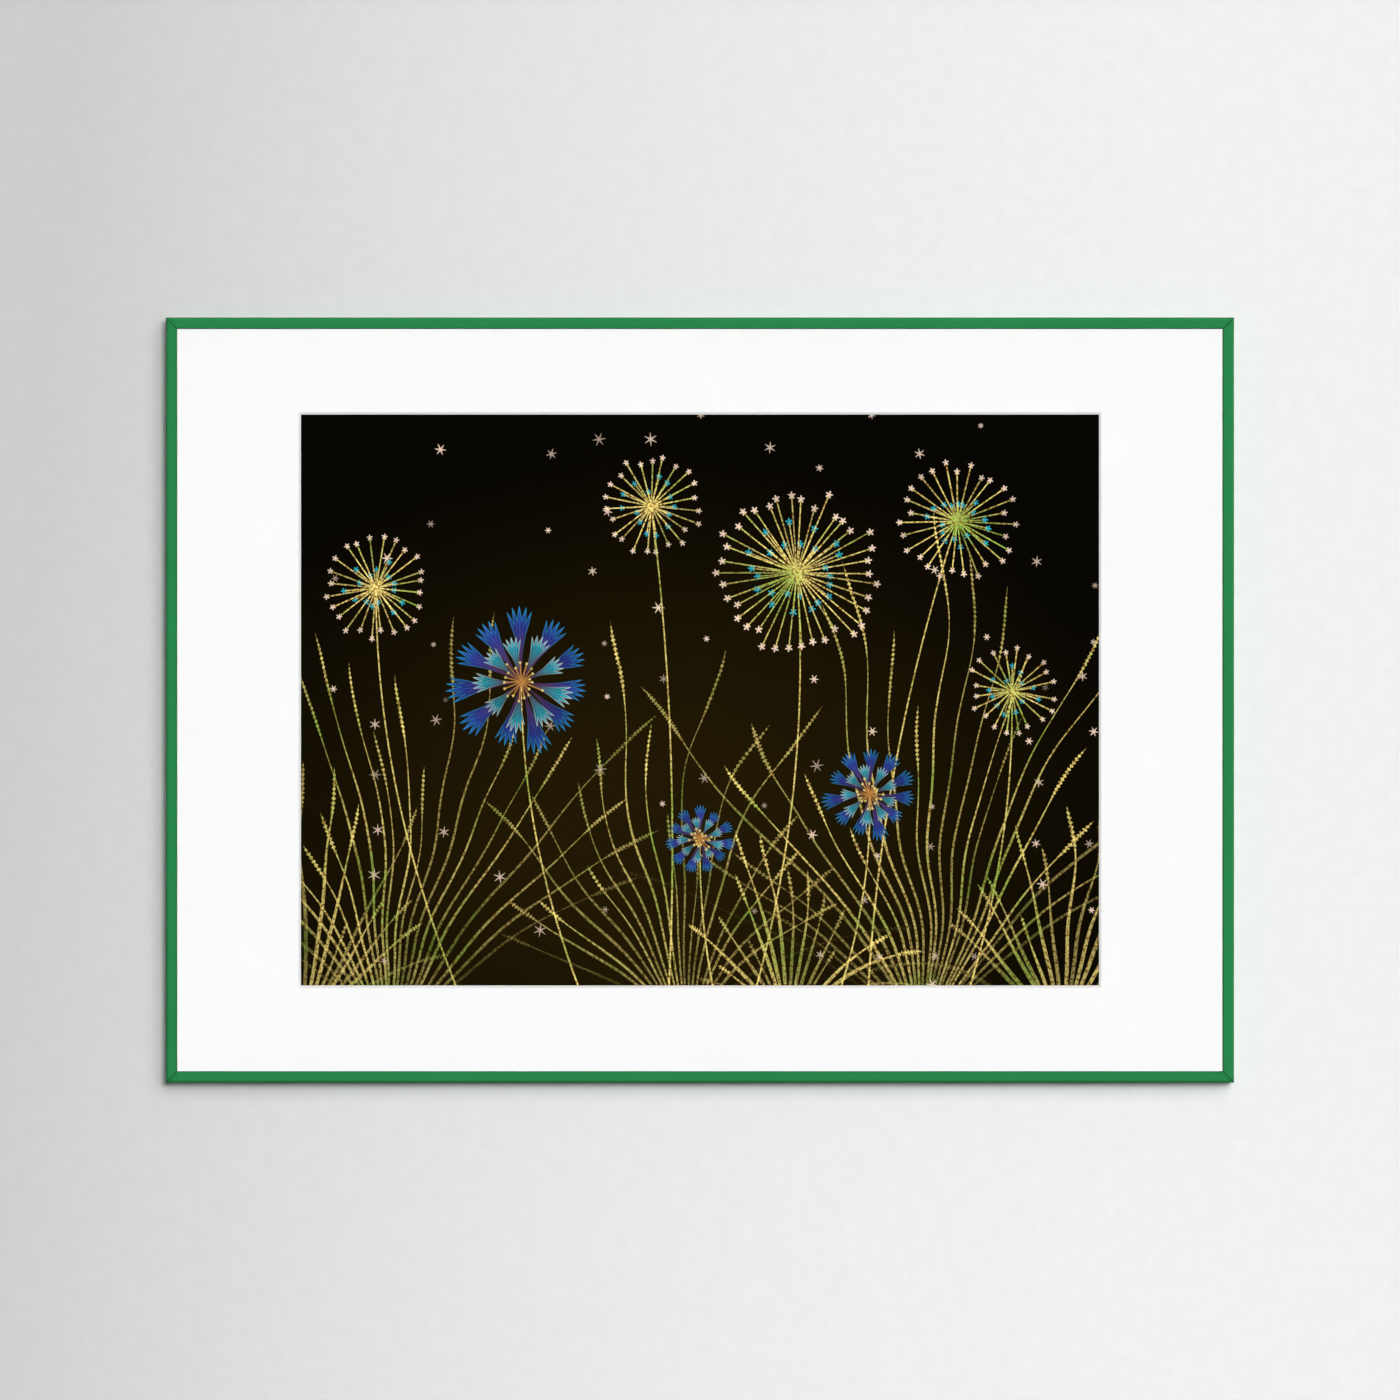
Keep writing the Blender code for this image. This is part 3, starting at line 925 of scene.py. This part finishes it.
@dataclass(frozen=True)
class Backdrop(Finish):
    """Pale grey paint, with painted shading that brightens to the right and downwards; clear from behind."""

    name: str = "backdrop_paint"
    # The painted shading runs from the left colour at the left end to the right colour at the right end.
    left: Colour = (0.53, 0.53, 0.53, 1)
    right: Colour = (0.765, 0.776, 0.77, 1)
    left_end: float = -0.454
    right_end: float = 0.40
    slope: float = 0.1
    falloff: float = 2.0
    mottle_size: float = 0.012
    mottle_share: float = 0.03

    def material(self) -> Material:
        """The backdrop's material.

        Returns:
            The material.
        """
        on = Surface(self.name, Roughness=0.95, Specular_IOR_Level=0.1)
        x, _, z = on.split(on.place)
        # Painted shading: darker to the left, brighter to the right and a little towards the bottom.
        lower = (LAYOUT.middle - z) * self.slope
        share = (x + lower - self.left_end) / (self.right_end - self.left_end)
        painted_shade = 1.0 - on.math("MINIMUM", on.math("MAXIMUM", share, 0.0), 1.0)
        tone = on.mix(painted_shade**self.falloff, self.right, self.left)
        on.give(Base_Color=on.mix(on.grain(self.mottle_size) * self.mottle_share, tone, BLACK))
        on.open_where(on.get("NewGeometry", {}, "Backfacing"))
        return on.material


# ---- pieces


def add_object(name: str, data: Any) -> Object:
    """Adds an object to the scene.

    Args:
        name: Its name.
        data: Its mesh, lamp or camera.

    Returns:
        The object.
    """
    made = bpy.data.objects.new(name, data)
    bpy.context.scene.collection.objects.link(made)
    return made


def add_mesh(bm: BMesh, name: str, material: Material) -> Object:
    """Adds a shape to the scene as an object.

    Args:
        bm: The shape in the shared frame. It is freed.
        name: The object's name.
        material: Its finish.

    Returns:
        The object.
    """
    mesh = bpy.data.meshes.new(name)
    bm.to_mesh(mesh)
    bm.free()
    mesh.materials.append(material)
    return add_object(name, mesh)


def finish_piece(
    bm: BMesh, side: Side, name: str, material: Material, nodes: Sequence[str]
) -> None:
    """Makes a mesh piece that stands for CAD nodes.

    Args:
        bm: The shape in its side's own place. It is freed.
        side: The side that it lies on.
        name: The piece's name.
        material: Its finish.
        nodes: The CAD nodes it replaces.
    """
    bm.transform(LAYOUT.on_side(side))
    bmesh.ops.recalc_face_normals(bm, faces=bm.faces)
    piece = add_mesh(bm, name, material)
    piece.data.set_sharp_from_angle(angle=SMOOTH_BELOW)
    # Faces square to the axes stay flat, so that the roundings beside them don't bend their shading.
    for face in piece.data.polygons:
        face.use_smooth = max(abs(part) for part in face.normal) < SQUARE
    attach(piece, BODY)
    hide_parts(*nodes)
    LOG.info("%s: %d faces, stands for %s", name, len(piece.data.polygons), ", ".join(nodes))


def dress_nodes(start: str, material: Material) -> None:
    """Gives a finish to every CAD node whose name starts with the given words.

    Args:
        start: How the names start.
        material: The finish.
    """
    for name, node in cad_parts.items():
        if name.startswith(start):
            for slot in node.material_slots:
                slot.material = material
            LOG.info("%s: %s", name, material.name)


def pull(bm: BMesh, faces: Sequence[BMFace], way: Point) -> None:
    """Pulls faces into a solid, so far and that way."""
    made = bmesh.ops.extrude_face_region(bm, geom=list(faces))["geom"]
    bmesh.ops.translate(bm, vec=way, verts=[item for item in made if isinstance(item, BMVert)])


def middle(edge: BMEdge) -> Vector:
    """The middle of an edge."""
    return (edge.verts[0].co + edge.verts[1].co) / 2


def round_edges(
    bm: BMesh, wanted: Callable[[BMEdge], bool], radius: float, steps: int
) -> None:
    """Rounds the wanted edges.

    Args:
        bm: The shape.
        wanted: Tells whether an edge is one of them.
        radius: The rounding's size.
        steps: How many faces it has.
    """
    bmesh.ops.bevel(
        bm, geom=[edge for edge in bm.edges if wanted(edge)], offset=radius, segments=steps, profile=0.5,
        affect="EDGES", material=-1, clamp_overlap=True,
    )


@dataclass
class Rails:
    """The four mitred rails, with the section that the solids have and finer roundings."""

    depth: float = 0.020
    face_thickness: float = 0.0015
    side_thickness: float = 0.0013
    outer_radius: float = 0.0020
    outer_steps: int = 8
    inner_radius: float = 0.0008
    inner_steps: int = 6
    channel_width: float = 0.0110
    slot_near: float = 0.00325
    slot_far: float = 0.00775
    shelf: float = 0.0125
    lip: float = 0.0188
    joint: float = 0.00002
    groove: float = 0.00014
    arris: float = 0.00015
    look: Finish = SatinCoat()

    def section(self) -> list[tuple[float, float]]:
        """The outline's corners, as in from the outer side and back from the front.

        Returns:
            The corners in order, with the front's outer and inner corners first.
        """
        face, metal, rear = LAYOUT.face_width, self.side_thickness, self.depth
        floor, inside = self.shelf + metal, self.channel_width - metal
        return [
            (0, 0), (face, 0), (face, self.face_thickness), (metal, self.face_thickness),
            (metal, self.shelf), (self.channel_width, self.shelf), (self.channel_width, rear),
            (self.slot_far, rear), (self.slot_far, self.lip), (inside, self.lip), (inside, floor),
            (metal, floor), (metal, self.lip), (self.slot_near, self.lip), (self.slot_near, rear), (0, rear),
        ]

    def shape(self, length: float) -> BMesh:
        """One rail in its side's own place: extruded, rounded along its edges and mitred.

        Args:
            length: Its outer length.

        Returns:
            The shape.
        """
        bm = bmesh.new()
        end = bm.faces.new([bm.verts.new((-length / 2, back, -inward)) for inward, back in self.section()])
        pull(bm, [end], (length, 0, 0))

        def along(edge: BMEdge, inward: float, back: float) -> bool:
            """True for the long edge through a corner of the section."""
            off = middle(edge) - Vector((0, back, -inward))
            return abs(off.x) < NEAR and max(abs(off.y), abs(off.z)) < self.arris / 2

        face = LAYOUT.face_width
        rest = self.section()[2:]
        round_edges(bm, lambda edge: along(edge, 0, 0), self.outer_radius, self.outer_steps)
        round_edges(bm, lambda edge: along(edge, face, 0), self.inner_radius, self.inner_steps)
        round_edges(bm, lambda edge: any(along(edge, *corner) for corner in rest), self.arris, 2)
        # A mitre brings each end in by the point's own distance from the outer side.
        for sign in (-1, 1):
            slant = Matrix.Identity(4)
            slant[0][2:] = sign, -sign * self.joint * math.sqrt(0.5)
            verts = [vert for vert in bm.verts if vert.co.x * sign > length / 4]
            bmesh.ops.transform(bm, matrix=slant, verts=verts)
        # The cut edges of the face are broken, so that the closed mitre shows as a fine groove.
        reach = length / 2 - face - self.groove
        round_edges(
            bm, lambda edge: abs(middle(edge).x) > reach and middle(edge).y < self.groove, self.groove, 1
        )
        return bm

    def build(self) -> None:
        """Makes the rails and gives them their coating."""
        material = self.look.material()
        for side in Side:
            bm = self.shape(LAYOUT.length(side))
            name = side.name.lower()
            finish_piece(bm, side, f"coated_rail_{name}", material, [f"rail_{name}"])


@dataclass
class Stack:
    """The glazing, mat, print and backing board, which keep the solids' own shapes."""

    finishes: Sequence[tuple[str, Finish]] = (
        ("glazing", ClearGlass()),
        ("mat_board", MAT_PAPER),
        ("print_sheet", BotanicalPrint()),
        ("backing_board", HARDBOARD),
    )
    unseen_by_bounces: Sequence[str] = ("glazing", "backing_board")

    def dress(self) -> None:
        """Gives each sheet its finish, and hides the outer two from light that has bounced.

        So the mat's light leaves past the glazing, and the board's brown doesn't tint the backdrop.
        """
        for node, look in self.finishes:
            dress_nodes(node, look.material())
        for node in self.unseen_by_bounces:
            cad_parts[node].visible_diffuse = False


@dataclass
class Springs:
    """The bowed steel strips that press the stack forward, with rounded corners."""

    length: float = 0.048
    width: float = 0.011
    thickness: float = 0.0004
    height: float = 0.0023
    inward: float = 0.003
    front: float = 0.0099
    corner: float = 0.0026
    corner_steps: int = 5
    steps: int = 24
    on_long: Sequence[float] = (-0.210, 0.0, 0.210)
    on_short: Sequence[float] = (-0.115, 0.115)
    look: Finish = SPRING_STEEL

    def shape(self, along: float) -> BMesh:
        """One spring in its side's own place.

        Args:
            along: Where its middle lies on the rail.

        Returns:
            The shape.
        """
        bm = bmesh.new()
        bmesh.ops.create_grid(bm, x_segments=self.steps, y_segments=1, size=0.5)
        bmesh.ops.scale(bm, vec=(self.length, self.width, 1), verts=bm.verts)
        corners = [vert for vert in bm.verts if len(vert.link_edges) == 2]
        bmesh.ops.bevel(
            bm, geom=corners, offset=self.corner, segments=self.corner_steps, profile=0.5, affect="VERTICES",
            material=-1,
        )
        bmesh.ops.rotate(bm, matrix=Matrix.Rotation(math.pi / 2, 3, "X"), verts=bm.verts)
        pull(bm, bm.faces[:], (0, self.thickness, 0))
        for vert in bm.verts:
            share = 2 * vert.co.x / self.length
            vert.co.y += (self.height - self.thickness) * (1 - share**2)
        bmesh.ops.translate(bm, vec=(along, self.front, -self.inward - self.width / 2), verts=bm.verts)
        return bm

    def build(self) -> None:
        """Makes the springs of every side."""
        material = self.look.material()
        for side in Side:
            for number, along in enumerate(self.on_long if side.long else self.on_short, 1):
                name = f"{side.name.lower()}_{number}"
                bm = self.shape(along)
                finish_piece(bm, side, f"bowed_spring_{name}", material, [f"spring_{name}"])


@dataclass
class Hanger:
    """The toothed hanger: a sheet with rounded bends and softened edges."""

    width: float = 0.046
    thickness: float = 0.0010
    top: float = 0.0010
    bottom: float = 0.0178
    bend_start: float = 0.0093
    bend_end: float = 0.0125
    bend_cuts: int = 12
    step: float = 0.0022
    pitch: float = 0.004
    tooth: float = 0.0026
    notches: int = 9
    hole_radius: float = 0.0018
    hole_apart: float = 0.034
    hole_steps: int = 32
    edge: float = 0.00014
    edge_above: float = math.radians(60)

    def outline(self) -> list[tuple[float, float]]:
        """The sheet's corners, with the teeth along its lower edge.

        Returns:
            The corners in order, as along the rail and in from its outer side.
        """
        half = self.width / 2
        teeth = [(self.notches / 2, self.bottom)]
        for place in range(self.notches):
            middle = self.notches / 2 - 0.5 - place
            teeth += [(middle, self.bottom - self.tooth), (middle - 0.5, self.bottom)]
        edge = [(place * self.pitch, inward) for place, inward in teeth]
        return [(-half, self.top), (half, self.top), (half, self.bottom), *edge, (-half, self.bottom)]

    def shape(self) -> BMesh:
        """The hanger in the top side's own place.

        Returns:
            The shape.
        """
        bm = bmesh.new()
        rim = [bm.verts.new((along, LAYOUT.fixing_front, -inward)) for along, inward in self.outline()]
        edges = [bm.edges.new((vert, rim[index - 1])) for index, vert in enumerate(rim)]
        for sign in (-1, 1):
            at = Matrix.Translation((sign * self.hole_apart / 2, LAYOUT.fixing_front, -LAYOUT.fixing_inward))
            hole = bmesh.ops.create_circle(
                bm, segments=self.hole_steps, radius=self.hole_radius,
                matrix=at @ Matrix.Rotation(math.pi / 2, 4, "X"),
            )
            edges += {edge for vert in hole["verts"] for edge in vert.link_edges}
        bmesh.ops.triangle_fill(bm, use_beauty=True, edges=edges)
        bend = self.bend_end - self.bend_start
        for cut in range(self.bend_cuts + 1):
            inward = self.bend_start + bend * cut / self.bend_cuts
            everything = [*bm.verts, *bm.edges, *bm.faces]
            bmesh.ops.bisect_plane(bm, geom=everything, plane_co=(0, 0, -inward), plane_no=(0, 0, 1))
        for vert in bm.verts:
            share = min(max((-vert.co.z - self.bend_start) / bend, 0.0), 1.0)
            vert.co.y += self.step * share * share * (3 - 2 * share)
        pull(bm, bm.faces[:], (0, self.thickness, 0))
        bmesh.ops.recalc_face_normals(bm, faces=bm.faces)
        round_edges(bm, lambda edge: edge.calc_face_angle(0.0) > self.edge_above, self.edge, 2)
        return bm

    def build(self, zinc: Material) -> None:
        """Makes the hanger."""
        finish_piece(self.shape(), Side.TOP, "bent_hanger", zinc, ["hanger"])


@dataclass
class Bumpers:
    """The rubber bumpers: tapered pads with a rounded rim and a shallow dish."""

    radius: float = 0.0045
    taper: float = 0.0005
    rim: float = 0.0009
    dish: float = 0.0003
    rear: float = 0.0235
    from_end: float = 0.062
    rim_steps: int = 6
    round_steps: int = 40
    look: Finish = BLACK_RUBBER

    def profile(self) -> list[tuple[float, float]]:
        """The outline from the middle of the foot to the middle of the dish.

        Returns:
            The points as radius and Y.
        """
        foot = LAYOUT.fixing_front
        centre = self.radius - self.taper - self.rim
        points = [(0.0, foot), (self.radius - self.dish, foot), (self.radius, foot + self.dish)]
        for step in range(self.rim_steps + 1):
            angle = math.pi / 2 * step / self.rim_steps
            lift = self.rim * (math.sin(angle) - 1)
            points.append((centre + self.rim * math.cos(angle), self.rear + lift))
        for step in range(1, self.rim_steps + 1):
            share = step / self.rim_steps
            points.append((centre * (1 - share), self.rear - self.dish * math.sin(math.pi / 2 * share)))
        return points

    def shape(self, along: float) -> BMesh:
        """One bumper in the bottom side's own place, turned about its axis.

        Args:
            along: Where its middle lies on the rail.

        Returns:
            The shape.
        """
        bm = bmesh.new()
        line = [bm.verts.new((radius, back, 0)) for radius, back in self.profile()]
        geom = [*line, *(bm.edges.new(pair) for pair in zip(line, line[1:]))]
        bmesh.ops.spin(bm, geom=geom, axis=(0, 1, 0), angle=math.tau, steps=self.round_steps, use_merge=True)
        bmesh.ops.remove_doubles(bm, verts=bm.verts, dist=WELD)
        bmesh.ops.translate(bm, vec=(along, 0, -LAYOUT.fixing_inward), verts=bm.verts)
        return bm

    def build(self) -> None:
        """Makes both bumpers."""
        material = self.look.material()
        for name, sign in (("left", -1), ("right", 1)):
            bm = self.shape(sign * (LAYOUT.width / 2 - self.from_end))
            node = f"rear_bumper_{name}"
            finish_piece(bm, Side.BOTTOM, f"dished_bumper_{name}", material, [node])


@dataclass
class Fittings:
    """The corner joints and the hanger's fixings, which keep the solids' own shapes."""

    plated: Sequence[str] = ("corner_angle", "corner_shim", "hanger_nut_plate", "hanger_screw")

    def dress(self) -> None:
        """Makes the hanger and gives the plates and screws their finishes."""
        zinc = ZINC.material()
        Hanger().build(zinc)
        for start in self.plated:
            dress_nodes(start, zinc)
        dress_nodes("set_screw", DARK_STEEL.material())


# ---- the studio


class Reach(Enum):
    """Whether a lamp lights only the pieces named, or all but them."""

    ONLY = "INCLUDE"
    ALL_BUT = "EXCLUDE"


BEHIND_GLAZING = ("mat_board", "print_sheet")
STAGE = ("backdrop", "floor")
RAILS = tuple(f"coated_rail_{side.name.lower()}" for side in Side)


@dataclass(frozen=True)
class Lamp:
    """What every lamp has: a name, a strength, and the pieces that it lights or leaves out."""

    name: str
    strength: float
    reach: Reach
    names: Sequence[str]

    def hang(self, kind: str, source: Vector) -> Object:
        """Adds the lamp, unseen through the glazing.

        Args:
            kind: Blender's word for its kind.
            source: The way to it from what it lights.

        Returns:
            The lamp.
        """
        lamp = add_object(self.name, bpy.data.lights.new(self.name, kind))
        lamp.data.energy = self.strength
        lamp.rotation_euler = source.to_track_quat("Z", "Y").to_euler()
        lamp.visible_transmission = False
        lit = bpy.data.collections.new(f"{self.name}_reach")
        lamp.light_linking.receiver_collection = lit
        for name in self.names:
            lit.objects.link(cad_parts.get(name) or bpy.data.objects[name])
        for item in lit.collection_objects:
            item.light_linking.link_state = self.reach.value
        return lamp


@dataclass(frozen=True)
class Sun(Lamp):
    """A distant lamp: how soft it is, and where it shines from in degrees right and up."""

    softness: float
    right: float
    up: float

    def light(self) -> None:
        """Adds the lamp, which the glazing doesn't mirror as a disc."""
        right, up = math.radians(self.right), math.radians(self.up)
        source = Vector((math.sin(right) * math.cos(up), -math.cos(right) * math.cos(up), math.sin(up)))
        lamp = self.hang("SUN", source)
        lamp.data.angle = math.radians(self.softness)
        lamp.visible_glossy = False


@dataclass(frozen=True)
class Softbox(Lamp):
    """A broad lamp turned towards the picture: its size, its place, and whether it gives light and gloss."""

    size: float
    place: Point
    diffuse: bool = True
    glossy: bool = True

    def light(self) -> None:
        """Adds the lamp."""
        lamp = self.hang("AREA", Vector(self.place) - Vector((0, 0, LAYOUT.middle)))
        lamp.data.size = self.size
        lamp.location = self.place
        lamp.visible_camera = False
        lamp.visible_diffuse = self.diffuse
        lamp.visible_glossy = self.glossy


@dataclass
class Studio:
    """The backdrop, floor, lamps and camera."""

    backdrop_width: float = 2.4
    backdrop_height: float = 1.9
    backdrop_gap: float = 0.0004
    floor_size: float = 14.0
    floor_level: float = -1.25
    lens: float = 300.0
    sensor: float = 36.0
    view_width: float = 0.9239
    sky: float = 0.14
    front_sky: float = 0.006
    seen_sky: Colour = (0.74, 0.745, 0.75, 1)
    near_front: Sequence[float] = (0.35, 0.92)
    lamps: Sequence[Sun | Softbox] = (
        Sun("near_sun", 1.75, Reach.ONLY, STAGE, softness=10.5, right=7.6, up=8.0),
        Sun("wide_sun", 1.87, Reach.ONLY, STAGE, softness=38.0, right=14.5, up=14.0),
        Sun("side_sun", 3.9, Reach.ALL_BUT, (*BEHIND_GLAZING, *STAGE), softness=16.0, right=20.0, up=18.0),
        Sun("front_sun", 3.45, Reach.ONLY, BEHIND_GLAZING, softness=5.0, right=2.5, up=2.5),
        Softbox("sheen_right", 20.0, Reach.ALL_BUT, STAGE, size=1.2, place=(1.9, -1.4, 1.5), diffuse=False),
        Softbox("sheen_left", 3.0, Reach.ALL_BUT, STAGE, size=1.0, place=(-2.4, -0.6, 0.4), diffuse=False),
        Softbox("rear_key", 70.0, Reach.ALL_BUT, (*RAILS, *STAGE), size=1.4, place=(1.4, 2.2, 1.1)),
        Softbox("rear_rails", 48.0, Reach.ONLY, RAILS, size=1.2, place=(0.0, 2.6, -0.1), glossy=False),
        Softbox("rear_fill", 30.0, Reach.ALL_BUT, STAGE, size=1.4, place=(-0.7, 2.5, 0.2)),
    )

    def sheet(self, name: str, width: float, height: float, place: Matrix, look: Finish) -> Object:
        """A flat sheet of the stage, which nothing mirrors and no bounced or bent light sees.

        Args:
            name: Its name.
            width: Its first side.
            height: Its second side.
            place: Where it lies and how it is turned.
            look: Its finish.

        Returns:
            The sheet.
        """
        bm = bmesh.new()
        bmesh.ops.create_grid(bm, x_segments=2, y_segments=2, size=0.5)
        bmesh.ops.scale(bm, vec=(width, height, 1), verts=bm.verts)
        bm.transform(place)
        made = add_mesh(bm, name, look.material())
        made.visible_diffuse = made.visible_glossy = made.visible_transmission = False
        return made

    def build_stage(self) -> None:
        """Makes the backdrop, which is seen from the front only, and the floor."""
        at = Matrix.Translation((0, self.backdrop_gap, LAYOUT.middle))
        upright = at @ Matrix.Rotation(math.pi / 2, 4, "X")
        backdrop = self.sheet("backdrop", self.backdrop_width, self.backdrop_height, upright, Backdrop())
        backdrop.visible_shadow = False
        level = Matrix.Translation((0, 0, self.floor_level))
        self.sheet("floor", self.floor_size, self.floor_size, level, FLOOR_PAINT)

    def light(self) -> None:
        """Adds the lamps and a dim sky, darkest in front of the glazing, where it would be mirrored."""
        for lamp in self.lamps:
            lamp.light()
        world = bpy.data.worlds.new("studio")
        bpy.context.scene.world = world
        world.use_nodes = True
        graph = Graph(world.node_tree)
        _, back, _ = graph.split(graph.get("TexCoord", {}, "Generated"))
        front = (back * -1.0).rise(*self.near_front)
        level = self.sky + front * (self.front_sky - self.sky)
        seen = graph.get("LightPath", {}, "Is Camera Ray")
        colour = graph.mix(seen, graph.join(level, level, level), self.seen_sky)
        graph.feed(world.node_tree.nodes["Background"].inputs["Color"], colour)
        view = bpy.context.scene.view_settings
        view.view_transform = "Standard"
        view.look = "None"

    def aim(self) -> None:
        """Sets the camera square on, with the whole frame as wide as the photograph's at the front face."""
        camera = add_object("camera", bpy.data.cameras.new("camera"))
        camera.data.lens = self.lens
        camera.data.sensor_width = self.sensor
        distance = self.view_width * self.lens / self.sensor
        camera.location = (0, LAYOUT.front - distance, LAYOUT.middle)
        camera.rotation_euler = (math.pi / 2, 0, 0)
        bpy.context.scene.camera = camera


def main() -> None:
    """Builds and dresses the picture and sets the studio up."""
    logging.basicConfig(level=logging.INFO, format="%(name)s: %(message)s", stream=sys.stdout)
    Rails().build()
    Stack().dress()
    Springs().build()
    Fittings().dress()
    Bumpers().build()
    studio = Studio()
    studio.build_stage()
    studio.light()
    studio.aim()


if __name__ == "__main__":
    main()
